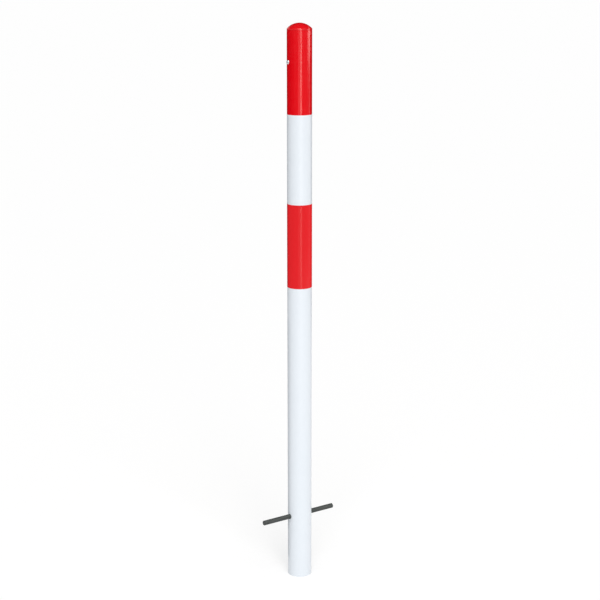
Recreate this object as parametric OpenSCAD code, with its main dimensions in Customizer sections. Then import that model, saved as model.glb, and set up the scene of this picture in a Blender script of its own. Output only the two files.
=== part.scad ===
// Barrier post for setting in concrete. A round steel tube carries a domed plug cap, a band
// of red film and a closed thread for a chain eye, and a bar through its lower end anchors it.
// Sizes are in millimetres. Z runs up the tube, the origin is the centre of the sawn foot,
// and the anchor bar lies along X.

/* [Tube] */
// Overall height from the foot to the top of the dome
post_h = 1400; // [900:1:1800]
// Outside diameter of the tube
tube_d = 60.3; // [48:0.1:76.1]
// Wall of the tube
tube_wall = 2.5; // [2:0.1:4]
// Chamfer that deburring leaves on the sawn ends
edge_break = 0.4; // [0.2:0.1:0.8]
// Length of tube that is coated red below the cap
red_top_h = 197; // [120:1:300]

/* [Film band] */
// White left between the red top and the film band
band_drop = 216; // [50:1:260]
// Height of the film band
band_h = 207; // [50:1:250]
// Thickness of the film
film_t = 0.25; // [0.15:0.05:0.6]
// Thickness of the adhesive between the tube and the film
adhesive_t = 0.1; // [0.05:0.05:0.3]
// Length of film that laps over its own start
film_lap = 12; // [5:1:30]
// Direction of the lap round the tube, counted from the X axis
film_lap_turn = 53; // [0:1:359]

/* [End cap] */
// Height of the dome above the rim
dome_h = 13.5; // [8:0.5:20]
// Height of the rim that stands on the end of the tube
rim_h = 4; // [2:0.5:8]
// Radius of the round between dome and rim
shoulder_r = 2; // [0.5:0.1:3]
// Wall of the dome
dome_wall = 2.4; // [1.5:0.1:4]
// Depth of the plug inside the tube
plug_h = 22; // [18:1:30]
// Height of the plain collar that centres the plug under the rim
collar_h = 3; // [1.5:0.5:4]
// Radial play of the collar and of the fins in the tube
plug_play = 0.1; // [0.05:0.05:0.3]
// Wall of the plug between its fins
plug_wall = 2.2; // [1.5:0.1:3]
// Number of grip fins round the plug
fin_count = 4; // [2:1:5]
// How far the fins stand out from the plug
fin_reach = 2.2; // [1.5:0.1:3]
// Thickness of a fin at its root
fin_root_t = 1.3; // [1:0.1:1.8]
// Thickness of a fin at its tip
fin_tip_t = 0.7; // [0.4:0.1:0.9]
// Thickness of the crossed webs inside the plug
web_t = 1.8; // [1:0.1:3]
// How far the webs stay back from the open end of the plug
web_setback = 4; // [1:0.5:10]

/* [Anchor bar] */
// Diameter of the bar
bar_d = 12; // [8:0.5:16]
// Length of the bar
bar_l = 210; // [120:1:400]
// Height of the holes for the bar above the foot
bar_z = 162; // [60:1:300]
// How far the bar is pushed off centre
bar_shift = 4; // [0:1:20]
// Chamfer on the cut ends of the bar
bar_chamfer = 0.5; // [0.2:0.1:1.5]
// How much wider the holes are than the bar
bar_hole_play = 0.6; // [0.4:0.1:3]
// Gap that is left under the bar where it lies in its holes
bar_seat_gap = 0.1; // [0.05:0.05:0.25]

/* [Chain point] */
// Depth of the chain point below the top of the dome
chain_drop = 90.5; // [60:0.5:180]
// How far the chain point is turned from the line of the bar
chain_turn = 7; // [0:1:90]
// Thread diameter of the chain point
thread_d = 6; // [5:1:10]
// Radial play between the screw and the insert
thread_play = 0.1; // [0.05:0.05:0.2]
// Wall of the insert round its thread
insert_wall = 1.5; // [1:0.05:2]
// Length of the set insert under its flange
insert_l = 13; // [12:0.5:18]
// How far the flange of the insert stands out from its body
flange_reach = 0.9; // [0.5:0.1:2]
// Thickness of the flange of the insert
flange_t = 0.6; // [0.4:0.1:1.5]
// How far the set collar of the insert stands out behind the wall
set_collar_reach = 1.5; // [1:0.1:3]
// Thickness of the set collar at its edge
set_collar_t = 2; // [1:0.1:3]
// Length of the slope between the set collar and the body of the insert
set_slope_l = 2; // [1:0.1:3]
// Play of the insert in its hole and behind the wall of the tube
insert_play = 0.1; // [0.05:0.05:0.2]
// Diameter of the button head
head_d = 10.5; // [9:0.5:18]
// Height of the button head
head_h = 3.3; // [2.5:0.1:6]
// Length of the screw under its head
screw_l = 12; // [8:1:16]
// Width across flats of the key socket
socket_af = 4; // [3:0.5:6]
// Depth of the key socket
socket_depth = 2; // [1.5:0.1:2.4]

/* [Hidden] */
$fn = 96;

white_coat = "#eef3f8";
traffic_red = "#d9101c";
film_red = "#e32c30";
dark_steel = "#5c6160";
zinc = "#d5d8dc";

// Small overlap that lets a cut run clear of the face it starts from
over = 1;

tube_r = tube_d / 2;
bore_r = tube_r - tube_wall;
tube_h = post_h - dome_h - rim_h;
red_from_z = tube_h - red_top_h;
band_top_z = red_from_z - band_drop;

dome_r = (pow(tube_r, 2) + pow(dome_h, 2)) / (2 * dome_h);
dome_z = post_h - dome_r;
shoulder_x = tube_r - shoulder_r;
shoulder_z = dome_z + sqrt(pow(dome_r - shoulder_r, 2) - pow(shoulder_x, 2));
// Share of the way from the dome's centre to the shoulder's that ends on the dome itself
tangent_share = dome_r / (dome_r - shoulder_r);
tangent_x = shoulder_x * tangent_share;
tangent_z = dome_z + (shoulder_z - dome_z) * tangent_share;

plug_z = tube_h - plug_h;
plug_r = bore_r - fin_reach;
plug_bore_r = plug_r - plug_wall;
plug_fit_r = bore_r - plug_play;
fin_pitch = (plug_h - collar_h) / fin_count;
fin_lift = (fin_pitch - fin_root_t) / 2;

bar_hole_r = (bar_d + bar_hole_play) / 2;
bar_lie_z = bar_z - bar_hole_play / 2 + bar_seat_gap;

chain_z = post_h - chain_drop;
insert_bore_r = thread_d / 2;
insert_r = insert_bore_r + insert_wall;
flange_r = insert_r + flange_reach;
set_collar_r = insert_r + set_collar_reach;
// The flat collar meets the curved wall first at its sides
set_collar_seat = sqrt(pow(bore_r, 2) - pow(set_collar_r, 2)) - insert_play;
head_seat = tube_r + flange_t;
head_r = head_d / 2;
head_ball_r = (pow(head_r, 2) + pow(head_h, 2)) / (2 * head_h);

// Tube between two heights, with its sawn ends deburred
module tube_stretch(z0, z1) {
    intersection() {
        rotate_extrude()
            polygon([
                [bore_r, edge_break], [bore_r + edge_break, 0],
                [tube_r - edge_break, 0], [tube_r, edge_break],
                [tube_r, tube_h - edge_break], [tube_r - edge_break, tube_h],
                [bore_r + edge_break, tube_h], [bore_r, tube_h - edge_break]
            ]);
        translate([0, 0, z0]) cylinder(r = tube_r + over, h = z1 - z0);
    }
}

// Places a piece that is drawn along Z on the axis of the chain point
module at_chain_point() {
    translate([0, 0, chain_z])
        rotate([0, 0, 180 - chain_turn])
            rotate([0, 90, 0])
                children();
}

// One steel tube, coated white below and red above, drilled for the bar and the insert
module tube() {
    difference() {
        union() {
            color(white_coat) tube_stretch(0, red_from_z);
            color(traffic_red) tube_stretch(red_from_z, tube_h);
        }
        translate([-tube_r - over, 0, bar_z])
            rotate([0, 90, 0])
                cylinder(r = bar_hole_r, h = tube_d + 2 * over);
        at_chain_point() cylinder(r = insert_r + insert_play, h = tube_r + over);
    }
}

// Half outline of the cap's dome, shoulder and rim
module head_outline() {
    translate([shoulder_x, shoulder_z]) circle(shoulder_r);
    intersection() {
        translate([0, dome_z]) circle(dome_r);
        translate([0, tangent_z]) square([tangent_x, dome_h]);
    }
    polygon([
        [0, tube_h], [tube_r, tube_h], [tube_r, shoulder_z],
        [shoulder_x, shoulder_z], [tangent_x, tangent_z], [0, tangent_z]
    ]);
}

// Half outline of the plug: a straight core, the collar under the rim and the upswept fins
module plug_outline() {
    translate([0, plug_z]) square([plug_r, plug_h + over]);
    translate([0, tube_h - collar_h]) square([plug_fit_r, collar_h + over]);
    for (i = [0 : fin_count - 1])
        translate([plug_r, plug_z + i * fin_pitch])
            polygon([
                [-over, 0], [0, 0], [plug_fit_r - plug_r, fin_lift],
                [plug_fit_r - plug_r, fin_lift + fin_tip_t], [0, fin_root_t], [-over, fin_root_t]
            ]);
}

// Half outline of the hollow, which follows the dome at an even wall
module hollow_outline() {
    translate([0, plug_z - over]) square([plug_bore_r, plug_h + over]);
    intersection() {
        translate([0, dome_z]) circle(dome_r - dome_wall);
        translate([0, tube_h - over]) square([plug_bore_r, dome_r]);
    }
}

// Crossed webs that stiffen the plug under the dome
module plug_webs() {
    web_h = post_h - plug_z - web_setback;
    web_l = 2 * plug_bore_r + plug_wall;
    intersection() {
        for (turn = [0, 90])
            rotate([0, 0, turn])
                translate([-web_l / 2, -web_t / 2, plug_z + web_setback])
                    cube([web_l, web_t, web_h]);
        translate([0, 0, dome_z]) sphere(dome_r - dome_wall / 2);
    }
}

// Moulded cap: the rim stands on the end of the tube and the fins grip its bore
module end_cap() {
    color(traffic_red) {
        rotate_extrude()
            difference() {
                union() {
                    head_outline();
                    plug_outline();
                }
                hollow_outline();
            }
        plug_webs();
    }
}

// Film wrapped once round the tube, with its end lapped over its start
module red_band() {
    film_r = tube_r + adhesive_t;
    lap_angle = film_lap / (film_r + film_t) * 180 / PI;
    // The lapped end reaches into the film below it, so that the strip stays one piece
    lap_root = film_t / 2;
    color(film_red)
        translate([0, 0, band_top_z - band_h]) {
            rotate_extrude() translate([film_r, 0]) square([film_t, band_h]);
            rotate([0, 0, film_lap_turn])
                rotate_extrude(angle = lap_angle)
                    translate([film_r + film_t - lap_root, 0]) square([film_t + lap_root, band_h]);
        }
}

// Plain round bar that lies loose in the two holes near the foot
module anchor_bar() {
    color(dark_steel)
        translate([-bar_shift - bar_l / 2, 0, bar_lie_z])
            rotate([0, 90, 0])
                rotate_extrude()
                    polygon([
                        [0, 0], [bar_d / 2 - bar_chamfer, 0], [bar_d / 2, bar_chamfer],
                        [bar_d / 2, bar_l - bar_chamfer], [bar_d / 2 - bar_chamfer, bar_l], [0, bar_l]
                    ]);
}

// Rivet nut after setting: the thin flange outside, the folded collar behind the wall
module thread_insert() {
    insert_end = tube_r - insert_l;
    color(zinc)
        at_chain_point()
            rotate_extrude()
                polygon([
                    [insert_bore_r, insert_end], [insert_r, insert_end],
                    [insert_r, set_collar_seat - set_collar_t - set_slope_l],
                    [set_collar_r, set_collar_seat - set_collar_t],
                    [set_collar_r, set_collar_seat], [insert_r, set_collar_seat],
                    [insert_r, tube_r], [flange_r, tube_r],
                    [flange_r, head_seat], [insert_bore_r, head_seat]
                ]);
}

// Button head screw with a key socket, turned down on the flange of the insert
module chain_screw() {
    color(zinc)
        at_chain_point()
            difference() {
                union() {
                    translate([0, 0, head_seat - screw_l])
                        cylinder(r = insert_bore_r - thread_play, h = screw_l + over);
                    intersection() {
                        translate([0, 0, head_seat + head_h - head_ball_r]) sphere(head_ball_r);
                        translate([0, 0, head_seat]) cylinder(r = head_d, h = head_h);
                    }
                }
                translate([0, 0, head_seat + head_h - socket_depth])
                    cylinder(r = socket_af / 2 / cos(30), h = socket_depth + over, $fn = 6);
            }
}

tube();
end_cap();
red_band();
anchor_bar();
thread_insert();
chain_screw();
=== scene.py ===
import math

import bmesh
import bpy
from mathutils import Matrix, Vector


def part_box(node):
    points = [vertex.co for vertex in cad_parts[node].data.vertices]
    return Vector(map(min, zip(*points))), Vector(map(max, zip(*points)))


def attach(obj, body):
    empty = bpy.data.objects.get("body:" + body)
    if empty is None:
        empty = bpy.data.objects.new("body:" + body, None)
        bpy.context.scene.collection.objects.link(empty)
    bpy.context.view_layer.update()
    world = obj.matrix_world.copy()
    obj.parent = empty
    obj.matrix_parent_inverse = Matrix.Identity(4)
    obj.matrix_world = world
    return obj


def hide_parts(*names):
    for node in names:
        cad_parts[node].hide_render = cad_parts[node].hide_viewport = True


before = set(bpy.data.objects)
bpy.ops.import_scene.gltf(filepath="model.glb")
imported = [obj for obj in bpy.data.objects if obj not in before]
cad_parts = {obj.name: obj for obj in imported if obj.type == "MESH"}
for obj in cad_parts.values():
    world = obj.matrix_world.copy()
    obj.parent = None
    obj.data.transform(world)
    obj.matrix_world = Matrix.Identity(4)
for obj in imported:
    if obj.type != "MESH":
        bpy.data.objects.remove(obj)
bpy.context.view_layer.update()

# Tube
# One length of welded steel tube, sawn square, deburred and drilled before it is coated.
# The coat is polyester powder: satin white over the whole length, and glossy red masked off
# to a straight line round the top. The bore stays bare zinc behind a drift of white powder.

MM = 0.001
quarter_turn = math.radians(90)
_, tube_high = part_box("tube")
screw_low, screw_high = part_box("chain_screw")
tube_r = tube_high.x
tube_h = tube_high.z
tube_wall = 2.5 * MM
bore_r = tube_r - tube_wall
edge_break = 0.4 * MM
red_h = 197 * MM
red_from = tube_h - red_h
bar_hole_r = 6.3 * MM
bar_hole_z = 162 * MM
chain_hole_r = 4.6 * MM
chain_hole_z = (screw_low.z + screw_high.z) / 2
chain_turn = math.radians(173)
tube_sides = 144
drill_sides = 64
# The wall is divided this far above and below each hole, so that the cut stays near it
hole_margin = 12 * MM
# Points nearer than this are welded into one
weld = 0.001 * MM
# Noise seldom leaves this part of the range from 0 to 1
noise_low = 0.35
noise_high = 0.65
# A Mix node's colour sockets share their names with its number sockets, so they go by place
MIX_A, MIX_B, MIXED = 6, 7, 2


def linear(code):
    """A colour as linear light, from its sRGB hex code."""
    parts = [int(code[i:i + 2], 16) / 255 for i in (0, 2, 4)]
    light = [p / 12.92 if p <= 0.04045 else ((p + 0.055) / 1.055) ** 2.4 for p in parts]
    return (*light, 1.0)


def add_node(tree, kind, inputs=None, **settings):
    """Adds a node with its settings, and its inputs either as values or as sockets to link."""
    node = tree.nodes.new(kind)
    for name, value in settings.items():
        setattr(node, name, value)
    for name, value in (inputs or {}).items():
        if isinstance(value, bpy.types.NodeSocket):
            tree.links.new(value, node.inputs[name])
        else:
            node.inputs[name].default_value = value
    return node


def new_material(name, **constants):
    """A material with its tree, its shader and its object coordinates; constants are shader values."""
    material = bpy.data.materials.new(name)
    material.use_nodes = True
    tree = material.node_tree
    shader = tree.nodes["Principled BSDF"]
    for socket, value in constants.items():
        shader.inputs[socket.replace("_", " ")].default_value = value
    place = add_node(tree, "ShaderNodeTexCoord").outputs["Object"]
    return material, tree, shader, place


def drive(tree, shader, **patterns):
    """Links patterns to the shader's sockets of those names."""
    for socket, pattern in patterns.items():
        tree.links.new(pattern, shader.inputs[socket.replace("_", " ")])


def powder_coat(name, pale, deep, roughness, peel_height):
    """Baked powder flows out even in colour, but stays faintly dimpled like orange peel."""
    cloud_size = 60 * MM
    haze_size = 9 * MM
    peel_size = 2.6 * MM
    spread = 0.03
    material, tree, shader, place = new_material(name, IOR=1.5, Diffuse_Roughness=0.25)
    clouds = add_node(tree, "ShaderNodeTexNoise", {"Vector": place, "Scale": 1 / cloud_size})
    tint = add_node(tree, "ShaderNodeMix", {"Factor": clouds.outputs["Fac"], MIX_A: linear(pale),
                                            MIX_B: linear(deep)}, data_type="RGBA")
    haze = add_node(tree, "ShaderNodeTexNoise", {"Vector": place, "Scale": 1 / haze_size, "Detail": 3.0})
    rough = add_node(tree, "ShaderNodeMapRange", {
        "Value": haze.outputs["Fac"], "From Min": noise_low, "From Max": noise_high,
        "To Min": roughness - spread, "To Max": roughness + spread,
    })
    peel = add_node(tree, "ShaderNodeTexNoise", {"Vector": place, "Scale": 1 / peel_size, "Detail": 1.0})
    dimples = add_node(tree, "ShaderNodeBump", {"Height": peel.outputs["Fac"], "Distance": peel_height})
    drive(tree, shader, Base_Color=tint.outputs[MIXED], Roughness=rough.outputs["Result"],
          Normal=dimples.outputs["Normal"])
    return material


def mill_zinc(name):
    """Zinc from the tube mill is dull grey with faint spangle; powder drifts white up the open foot."""
    spangle_size = 7 * MM
    blot_size = 12 * MM
    haze_size = 5 * MM
    drift_full = 8 * MM
    drift_end = 42 * MM
    drift_ragged = 9 * MM
    material, tree, shader, place = new_material(name, IOR=1.5)
    spangle = add_node(tree, "ShaderNodeTexVoronoi", {"Vector": place, "Scale": 1 / spangle_size})
    grey = add_node(tree, "ShaderNodeMix", {"Factor": spangle.outputs["Distance"],
                                            MIX_A: linear("8b9093"), MIX_B: linear("a5aaad")},
                    data_type="RGBA")
    blots = add_node(tree, "ShaderNodeTexNoise", {"Vector": place, "Scale": 1 / blot_size, "Detail": 4.0})
    ragged = add_node(tree, "ShaderNodeMapRange", {
        "Value": blots.outputs["Fac"], "From Min": noise_low, "From Max": noise_high,
        "To Min": -drift_ragged, "To Max": drift_ragged,
    })
    height = add_node(tree, "ShaderNodeSeparateXYZ", {"Vector": place})
    edge = add_node(tree, "ShaderNodeMath", {0: height.outputs["Z"], 1: ragged.outputs["Result"]},
                    operation="ADD")
    bare = add_node(tree, "ShaderNodeMapRange", {"Value": edge.outputs["Value"], "From Min": drift_full,
                                                 "From Max": drift_end})
    tint = add_node(tree, "ShaderNodeMix", {"Factor": bare.outputs["Result"], MIX_A: linear("e9edf0"),
                                            MIX_B: grey.outputs[MIXED]}, data_type="RGBA")
    haze = add_node(tree, "ShaderNodeTexNoise", {"Vector": place, "Scale": 1 / haze_size})
    rough = add_node(tree, "ShaderNodeMapRange", {
        "Value": haze.outputs["Fac"], "From Min": noise_low, "From Max": noise_high,
        "To Min": 0.42, "To Max": 0.6,
    })
    drive(tree, shader, Base_Color=tint.outputs[MIXED], Metallic=bare.outputs["Result"],
          Roughness=rough.outputs["Result"])
    return material


def spun(profile, steps):
    """A bmesh of a closed outline of (radius, height) points, turned once round Z."""
    bm = bmesh.new()
    ring = [bm.verts.new((radius, 0, height)) for radius, height in profile]
    edges = [bm.edges.new(pair) for pair in zip(ring, ring[1:] + ring[:1])]
    bmesh.ops.spin(bm, geom=ring + edges, cent=(0, 0, 0), axis=(0, 0, 1), angle=2 * math.pi,
                   steps=steps, use_merge=True)
    bmesh.ops.remove_doubles(bm, verts=bm.verts, dist=weld)
    bmesh.ops.recalc_face_normals(bm, faces=bm.faces)
    return bm


def piece_from(bm, name, *materials):
    """A smooth-shaded object from a bmesh, with the edges over 30 degrees kept sharp."""
    mesh = bpy.data.meshes.new(name)
    bm.to_mesh(mesh)
    bm.free()
    for material in materials:
        mesh.materials.append(material)
    mesh.shade_smooth()
    mesh.set_sharp_from_angle(angle=math.radians(30))
    piece = bpy.data.objects.new(name, mesh)
    bpy.context.scene.collection.objects.link(piece)
    return piece


def drill(radius, near, far, turn, height, slot_number):
    """A drill that lies across the tube, from near to far of its axis, and the slot its hole gets."""
    bm = bmesh.new()
    bmesh.ops.create_cone(bm, cap_ends=True, segments=drill_sides, radius1=radius, radius2=radius,
                          depth=far - near)
    bmesh.ops.translate(bm, verts=bm.verts, vec=(0, 0, (near + far) / 2))
    lie = Matrix.Rotation(turn, 3, "Z") @ Matrix.Rotation(quarter_turn, 3, "Y")
    bmesh.ops.rotate(bm, verts=bm.verts, cent=(0, 0, 0), matrix=lie)
    bmesh.ops.translate(bm, verts=bm.verts, vec=(0, 0, height))
    for face in bm.faces:
        face.material_index = slot_number
    return bm


def drilled(blank, *drills):
    """The blank's mesh with every drill's hole cut out of it, as a bmesh; the blank is used up."""
    for number, tool in enumerate(drills):
        cut = blank.modifiers.new("hole", "BOOLEAN")
        cut.operation = "DIFFERENCE"
        cut.solver = "EXACT"
        cut.object = piece_from(tool, f"drill_{number}", *blank.data.materials)
    bpy.context.view_layer.update()
    cut_blank = blank.evaluated_get(bpy.context.evaluated_depsgraph_get())
    bm = bmesh.new()
    bm.from_mesh(cut_blank.to_mesh())
    bmesh.ops.remove_doubles(bm, verts=bm.verts, dist=weld)
    for cut in blank.modifiers:
        bpy.data.objects.remove(cut.object)
    bpy.data.objects.remove(blank)
    return bm


white_slot, red_slot, bore_slot = range(3)
coats = [
    powder_coat("powder_coat_white", "edf3fa", "eaf1f8", roughness=0.36, peel_height=0.003 * MM),
    powder_coat("powder_coat_red", "ea0515", "e60414", roughness=0.15, peel_height=0.0015 * MM),
    mill_zinc("zinc_bore"),
]
levels = [edge_break, bar_hole_z - hole_margin, bar_hole_z + hole_margin, red_from,
          chain_hole_z - hole_margin, chain_hole_z + hole_margin, tube_h - edge_break]
bm = spun(
    [(bore_r + edge_break, 0), (tube_r - edge_break, 0)]
    + [(tube_r, level) for level in levels]
    + [(tube_r - edge_break, tube_h), (bore_r + edge_break, tube_h)]
    + [(bore_r, level) for level in reversed(levels)],
    tube_sides,
)
for face in bm.faces:
    middle = face.calc_center_median()
    if middle.xy.length < bore_r:
        face.material_index = bore_slot
    elif middle.z > red_from:
        face.material_index = red_slot
bm = drilled(
    piece_from(bm, "tube_blank", *coats),
    drill(bar_hole_r, near=-2 * tube_r, far=2 * tube_r, turn=0.0, height=bar_hole_z,
          slot_number=white_slot),
    drill(chain_hole_r, near=0.0, far=2 * tube_r, turn=chain_turn, height=chain_hole_z,
          slot_number=red_slot),
)
tube = piece_from(bm, "post_tube", *coats)
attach(tube, "root")
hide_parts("tube")

# End cap
# A moulded cap of red polyethylene. Its rim stands on the tube's end and its plug holds in the
# bore by four soft fins, so it is pressed home with a mallet and needs no fixing.


def moulded_plastic(name, pale, deep, roughness):
    """Polyethylene is coloured all through and takes the faint grain of its steel mould."""
    cloud_size = 18 * MM
    haze_size = 3 * MM
    # A mould's grain is about 0.1 mm, and is drawn this coarse so that it shows close up
    grain_size = 0.8 * MM
    grain_height = 0.002 * MM
    glossier = 0.03
    duller = 0.04
    material, tree, shader, place = new_material(name, IOR=1.5)
    clouds = add_node(tree, "ShaderNodeTexNoise", {"Vector": place, "Scale": 1 / cloud_size})
    tint = add_node(tree, "ShaderNodeMix", {"Factor": clouds.outputs["Fac"], MIX_A: linear(pale),
                                            MIX_B: linear(deep)}, data_type="RGBA")
    haze = add_node(tree, "ShaderNodeTexNoise", {"Vector": place, "Scale": 1 / haze_size, "Detail": 3.0})
    rough = add_node(tree, "ShaderNodeMapRange", {
        "Value": haze.outputs["Fac"], "From Min": noise_low, "From Max": noise_high,
        "To Min": roughness - glossier, "To Max": roughness + duller,
    })
    grain = add_node(tree, "ShaderNodeTexNoise", {"Vector": place, "Scale": 1 / grain_size})
    relief = add_node(tree, "ShaderNodeBump", {"Height": grain.outputs["Fac"], "Distance": grain_height})
    drive(tree, shader, Base_Color=tint.outputs[MIXED], Roughness=rough.outputs["Result"],
          Normal=relief.outputs["Normal"])
    return material


end_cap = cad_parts["end_cap"]
end_cap.data.materials.clear()
end_cap.data.materials.append(
    moulded_plastic("moulded_polyethylene_red", "e40c17", "df0b16", roughness=0.17))

# Red band
# One strip of red retroreflective film, wrapped once round the coated tube.
# It starts at the back, climbs over its own start and ends a finger's width further on.

band_low, band_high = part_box("red_band")
film_t = 0.25 * MM
adhesive_t = 0.1 * MM
film_r = tube_r + adhesive_t
lap_l = 12 * MM
# Angles round the post: where the strip starts, its climb over its own start, and its lap
film_start = math.radians(53)
film_climb = math.radians(5)
film_lap = lap_l / tube_r
climb_steps = 4
lap_steps = 10
# Air that the stiff film leaves under its lap
film_gap = 0.02 * MM


def reflective_film(name):
    """Glass beads under clear acrylic send light back, so the film looks flat and even to its edges."""
    # The beads are about 0.05 mm, and are drawn this coarse so that they show close up
    bead_size = 0.5 * MM
    bead_height = 0.0015 * MM
    haze_size = 6 * MM
    material, tree, shader, place = new_material(
        name, IOR=1.49, Specular_IOR_Level=0.2, Diffuse_Roughness=1.0, Sheen_Weight=0.07,
        Sheen_Roughness=0.6, Sheen_Tint=linear("ff2020"),
    )
    beads = add_node(tree, "ShaderNodeTexVoronoi", {"Vector": place, "Scale": 1 / bead_size})
    tint = add_node(tree, "ShaderNodeMix", {"Factor": beads.outputs["Distance"],
                                            MIX_A: linear("e8292f"), MIX_B: linear("e5262c")},
                    data_type="RGBA")
    haze = add_node(tree, "ShaderNodeTexNoise", {"Vector": place, "Scale": 1 / haze_size, "Detail": 3.0})
    rough = add_node(tree, "ShaderNodeMapRange", {
        "Value": haze.outputs["Fac"], "From Min": noise_low, "From Max": noise_high,
        "To Min": 0.15, "To Max": 0.2,
    })
    relief = add_node(tree, "ShaderNodeBump", {"Height": beads.outputs["Distance"],
                                               "Distance": bead_height})
    drive(tree, shader, Base_Color=tint.outputs[MIXED], Roughness=rough.outputs["Result"],
          Normal=relief.outputs["Normal"])
    return material


def turned_on(bm, last, angle, steps):
    """Carries the end of the strip round the post, and gives its new end."""
    turn = bmesh.ops.spin(bm, geom=last, cent=(0, 0, 0), axis=(0, 0, 1), angle=angle, steps=steps)
    return turn["geom_last"]


bm = bmesh.new()
corners = [(film_r, band_low.z), (film_r + film_t, band_low.z),
           (film_r + film_t, band_high.z), (film_r, band_high.z)]
ring = [bm.verts.new((radius, 0, height)) for radius, height in corners]
start = bm.faces.new(ring)
end = turned_on(bm, [*ring, *start.edges], 2 * math.pi - film_climb, tube_sides)
end = turned_on(bm, end, film_climb, climb_steps)
lifted = [part for part in end if isinstance(part, bmesh.types.BMVert)]
bmesh.ops.translate(bm, verts=lifted, vec=(film_t + film_gap, 0, 0))
end = turned_on(bm, end, film_lap, lap_steps)
bmesh.ops.contextual_create(bm, geom=[part for part in end if isinstance(part, bmesh.types.BMEdge)])
bmesh.ops.rotate(bm, verts=bm.verts, cent=(0, 0, 0), matrix=Matrix.Rotation(film_start, 3, "Z"))
bmesh.ops.recalc_face_normals(bm, faces=bm.faces)
band = piece_from(bm, "film_band", reflective_film("retroreflective_film_red"))
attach(band, "root")
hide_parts("red_band")

# Anchor bar
# Plain 12 mm round bar, hot rolled and left black, sawn off and pushed through the two holes
# after coating. Concrete closes round it, so the post can't be turned or pulled out.

bar_low, bar_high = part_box("anchor_bar")
bar_r = (bar_high.z - bar_low.z) / 2
bar_z = (bar_high.z + bar_low.z) / 2
bar_l = bar_high.x - bar_low.x
bar_chamfer = 0.5 * MM
bar_sides = 64


def hot_rolled_steel(name):
    """Mill scale is a grey-black oxide skin, cloudy, and streaked along the bar by the rolls."""
    streak_size = 2.2 * MM
    streak_squeeze = 0.08
    patch_size = 14 * MM
    scale_height = 0.05 * MM
    material, tree, shader, place = new_material(name, IOR=1.5)
    along = add_node(tree, "ShaderNodeMapping", {"Vector": place, "Scale": (streak_squeeze, 1.0, 1.0)})
    streaks = add_node(tree, "ShaderNodeTexNoise", {"Vector": along.outputs["Vector"],
                                                    "Scale": 1 / streak_size, "Detail": 3.0})
    patches = add_node(tree, "ShaderNodeTexNoise", {"Vector": place, "Scale": 1 / patch_size,
                                                    "Detail": 4.0, "Roughness": 0.6})
    scale = add_node(tree, "ShaderNodeMath", {0: streaks.outputs["Fac"], 1: patches.outputs["Fac"]},
                     operation="MULTIPLY")
    tone = add_node(tree, "ShaderNodeMapRange", {"Value": scale.outputs["Value"], "From Min": 0.14,
                                                 "From Max": 0.38})
    tint = add_node(tree, "ShaderNodeMix", {"Factor": tone.outputs["Result"], MIX_A: linear("363a39"),
                                            MIX_B: linear("4c504f")}, data_type="RGBA")
    rough = add_node(tree, "ShaderNodeMapRange", {
        "Value": patches.outputs["Fac"], "From Min": noise_low, "From Max": noise_high,
        "To Min": 0.5, "To Max": 0.7,
    })
    relief = add_node(tree, "ShaderNodeBump", {"Height": scale.outputs["Value"],
                                               "Distance": scale_height})
    drive(tree, shader, Base_Color=tint.outputs[MIXED], Roughness=rough.outputs["Result"],
          Normal=relief.outputs["Normal"])
    return material


bm = spun([(0, 0), (bar_r - bar_chamfer, 0), (bar_r, bar_chamfer), (bar_r, bar_l - bar_chamfer),
           (bar_r - bar_chamfer, bar_l), (0, bar_l)], bar_sides)
lie = Matrix.Translation((bar_low.x, 0, bar_z)) @ Matrix.Rotation(quarter_turn, 4, "Y")
bmesh.ops.transform(bm, matrix=lie, verts=bm.verts)
bar = piece_from(bm, "round_bar", hot_rolled_steel("hot_rolled_steel"))
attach(bar, "root")
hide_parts("anchor_bar")

# Chain point
# A set rivet nut holds an M6 button head screw, which keeps the thread clean until a chain eye
# takes its place. Both are steel with bright zinc plating.


def bright_zinc(name):
    """Bright zinc plating is a hard white metal with a faint cloud in its shine."""
    cloud_size = 4 * MM
    material, tree, shader, place = new_material(name, Metallic=1.0)
    clouds = add_node(tree, "ShaderNodeTexNoise", {"Vector": place, "Scale": 1 / cloud_size,
                                                   "Detail": 3.0})
    tint = add_node(tree, "ShaderNodeMix", {"Factor": clouds.outputs["Fac"], MIX_A: linear("e3e5e9"),
                                            MIX_B: linear("d3d6db")}, data_type="RGBA")
    rough = add_node(tree, "ShaderNodeMapRange", {
        "Value": clouds.outputs["Fac"], "From Min": noise_low, "From Max": noise_high,
        "To Min": 0.26, "To Max": 0.36,
    })
    drive(tree, shader, Base_Color=tint.outputs[MIXED], Roughness=rough.outputs["Result"])
    return material


plating = bright_zinc("zinc_plating")
for node in ("thread_insert", "chain_screw"):
    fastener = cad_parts[node]
    fastener.data.materials.clear()
    fastener.data.materials.append(plating)

# Floor
# A wide floor of pale grey card. What sees it directly or mirrors it gets it lifted to white,
# less the post's own shadow.

floor_half = 60
floor_lift = 0.52


def seen_or_mirrored(tree):
    """1 where the camera, a reflection or a transparent thing looks, and 0 for the light itself."""
    path = add_node(tree, "ShaderNodeLightPath").outputs
    either = add_node(tree, "ShaderNodeMath", {0: path["Is Camera Ray"], 1: path["Is Glossy Ray"]},
                      operation="ADD")
    return add_node(tree, "ShaderNodeMath", {0: either.outputs["Value"], 1: path["Is Transmission Ray"]},
                    operation="ADD", use_clamp=True).outputs["Value"]


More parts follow.
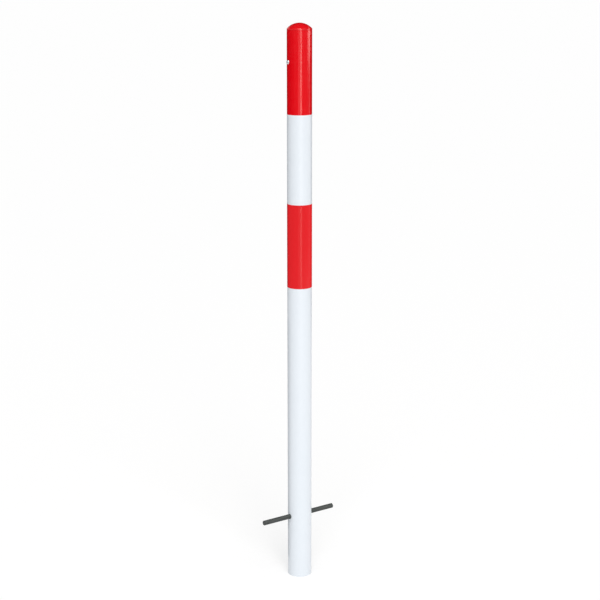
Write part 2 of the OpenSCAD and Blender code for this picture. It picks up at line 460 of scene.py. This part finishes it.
bm = bmesh.new()
bmesh.ops.create_grid(bm, x_segments=1, y_segments=1, size=floor_half)
material, tree, shader, _ = new_material("pale_card", Base_Color=linear("bcbcbc"), Roughness=1.0,
                                         Specular_IOR_Level=0.0)
plain = shader.outputs["BSDF"]
lift = add_node(tree, "ShaderNodeEmission", {"Strength": floor_lift})
lifted = add_node(tree, "ShaderNodeAddShader", {0: plain, 1: lift.outputs["Emission"]})
shown = add_node(tree, "ShaderNodeMixShader", {"Fac": seen_or_mirrored(tree), 1: plain,
                                               2: lifted.outputs["Shader"]})
tree.links.new(shown.outputs["Shader"], tree.nodes["Material Output"].inputs["Surface"])
floor = piece_from(bm, "floor", material)

# Light
# The sky of a white studio, a broad key light from the upper front, and a narrow soft box just
# right of the camera. Three boxes more only shine in the gloss, on the top's right side and on
# the cap. Directions are counted from the camera's, to its right.

scene = bpy.context.scene
camera_turn = math.radians(-33.7)
sky_strength = 0.62
backdrop_strength = 1.0

world = bpy.data.worlds.new("studio")
scene.world = world
world.use_nodes = True
tree = world.node_tree
sky = tree.nodes["Background"]
sky.inputs["Color"].default_value = linear("ffffff")
sky.inputs["Strength"].default_value = sky_strength
backdrop = add_node(tree, "ShaderNodeBackground", {"Color": linear("ffffff"),
                                                   "Strength": backdrop_strength})
shown = add_node(tree, "ShaderNodeMixShader", {"Fac": seen_or_mirrored(tree),
                                               1: sky.outputs["Background"],
                                               2: backdrop.outputs["Background"]})
tree.links.new(shown.outputs["Shader"], tree.nodes["World Output"].inputs["Surface"])


def soft_box(name, turn, distance, low, high, width, radiance, shine_only=False):
    """A soft box that faces the post; turn is its direction in degrees, low and high its edges.

    One that is for shine only is mirrored by the gloss, and leaves the plain light as it is.
    """
    light = bpy.data.lights.new(name, "AREA")
    light.shape = "RECTANGLE"
    light.color = linear("fff8ee")[:3]
    light.size = width
    light.size_y = high - low
    light.energy = radiance * math.pi * width * (high - low)
    lamp = bpy.data.objects.new(name, light)
    direction = camera_turn + math.radians(turn)
    out = Vector((math.sin(direction), -math.cos(direction), 0))
    lamp.location = out * distance + Vector((0, 0, (low + high) / 2))
    lamp.rotation_euler = (quarter_turn, 0, direction)
    lamp.visible_camera = False
    lamp.visible_diffuse = not shine_only
    scene.collection.objects.link(lamp)


soft_box("front_box", turn=14, distance=2.9, low=0.02, high=2.2, width=0.55, radiance=4.1)
soft_box("side_box", turn=94, distance=1.7, low=1.2, high=1.7, width=0.95, radiance=2.9,
         shine_only=True)
soft_box("shoulder_box", turn=8, distance=0.6, low=2.0, high=3.2, width=0.5, radiance=9,
         shine_only=True)
soft_box("dome_box", turn=131, distance=1.6, low=2.35, high=2.8, width=0.6, radiance=1.7,
         shine_only=True)

key_turn = math.radians(8)
key_tilt = math.radians(45)
key = bpy.data.lights.new("key", "SUN")
key.energy = 1.4
key.angle = math.radians(40)
lamp = bpy.data.objects.new("key", key)
lamp.rotation_euler = (key_tilt, 0, camera_turn + key_turn)
scene.collection.objects.link(lamp)

# Cards
# Black and grey studio cards stand on the floor and curve round the post, and one hangs over
# it. The gloss mirrors them, which darkens its edges and the gaps between its highlights.

ring_r = 2.6
standing_h = 1.42
card_steps = 40
ceiling_z = 3.0
ceiling_behind = 1.7
ceiling_half = 2.0


def card(bm, name, shade):
    """A matt card of the studio: it shows in what mirrors it, and takes no light from the rest."""
    material = new_material(f"{name}_paper", Base_Color=linear(shade), Roughness=1.0,
                            Specular_IOR_Level=0.0)[0]
    sheet = piece_from(bm, name, material)
    sheet.visible_camera = False
    sheet.visible_diffuse = False
    sheet.visible_shadow = False


def curved(away, top, turn, sweep):
    """A card that stands on the floor and curves round the post, from turn on by sweep degrees."""
    bm = bmesh.new()
    ends = [bm.verts.new((0, -away, height)) for height in (0, top)]
    edge = bm.edges.new(ends)
    aim = Matrix.Rotation(camera_turn + math.radians(turn), 3, "Z")
    bmesh.ops.rotate(bm, verts=bm.verts, cent=(0, 0, 0), matrix=aim)
    bmesh.ops.spin(bm, geom=[*ends, edge], cent=(0, 0, 0), axis=(0, 0, 1), angle=math.radians(sweep),
                   steps=card_steps)
    return bm


card(curved(away=ring_r, top=standing_h, turn=-12, sweep=-40), "left_card", "808080")
card(curved(away=ring_r, top=standing_h, turn=-52, sweep=-24), "side_card", "303030")
card(curved(away=ring_r, top=standing_h, turn=-76, sweep=-88), "far_card", "101010")
card(curved(away=0.12, top=0.65, turn=-84, sweep=-80), "near_card", "101010")
card(curved(away=3.6, top=standing_h, turn=4, sweep=94), "right_card", "a8a8a8")
card(curved(away=ring_r, top=ceiling_z, turn=108, sweep=88), "back_card", "101010")
bm = bmesh.new()
overhead = Matrix.Rotation(camera_turn, 4, "Z") @ Matrix.Translation((0, ceiling_behind, ceiling_z))
bmesh.ops.create_grid(bm, x_segments=1, y_segments=1, size=ceiling_half, matrix=overhead)
card(bm, "ceiling_card", "1c1c1c")

# Camera
# It stands where the photograph was taken from: 3.27 m away, a little above the post's top,
# looking down by 14 degrees.

camera_away = 3.274
camera_height = 1.543
camera_pitch = math.radians(13.98)
camera_roll = math.radians(-0.025)
camera = bpy.data.cameras.new("camera")
camera.sensor_width = 36
camera.lens = 81.96
camera.shift_x = 0.0007
viewer = bpy.data.objects.new("camera", camera)
stand = Vector((math.sin(camera_turn), -math.cos(camera_turn), 0)) * camera_away
aim = Matrix.Rotation(camera_turn, 4, "Z") @ Matrix.Rotation(quarter_turn - camera_pitch, 4, "X")
viewer.matrix_world = (Matrix.Translation(stand + Vector((0, 0, camera_height))) @ aim
                       @ Matrix.Rotation(camera_roll, 4, "Z"))
scene.collection.objects.link(viewer)
scene.camera = viewer
scene.view_settings.view_transform = "Standard"
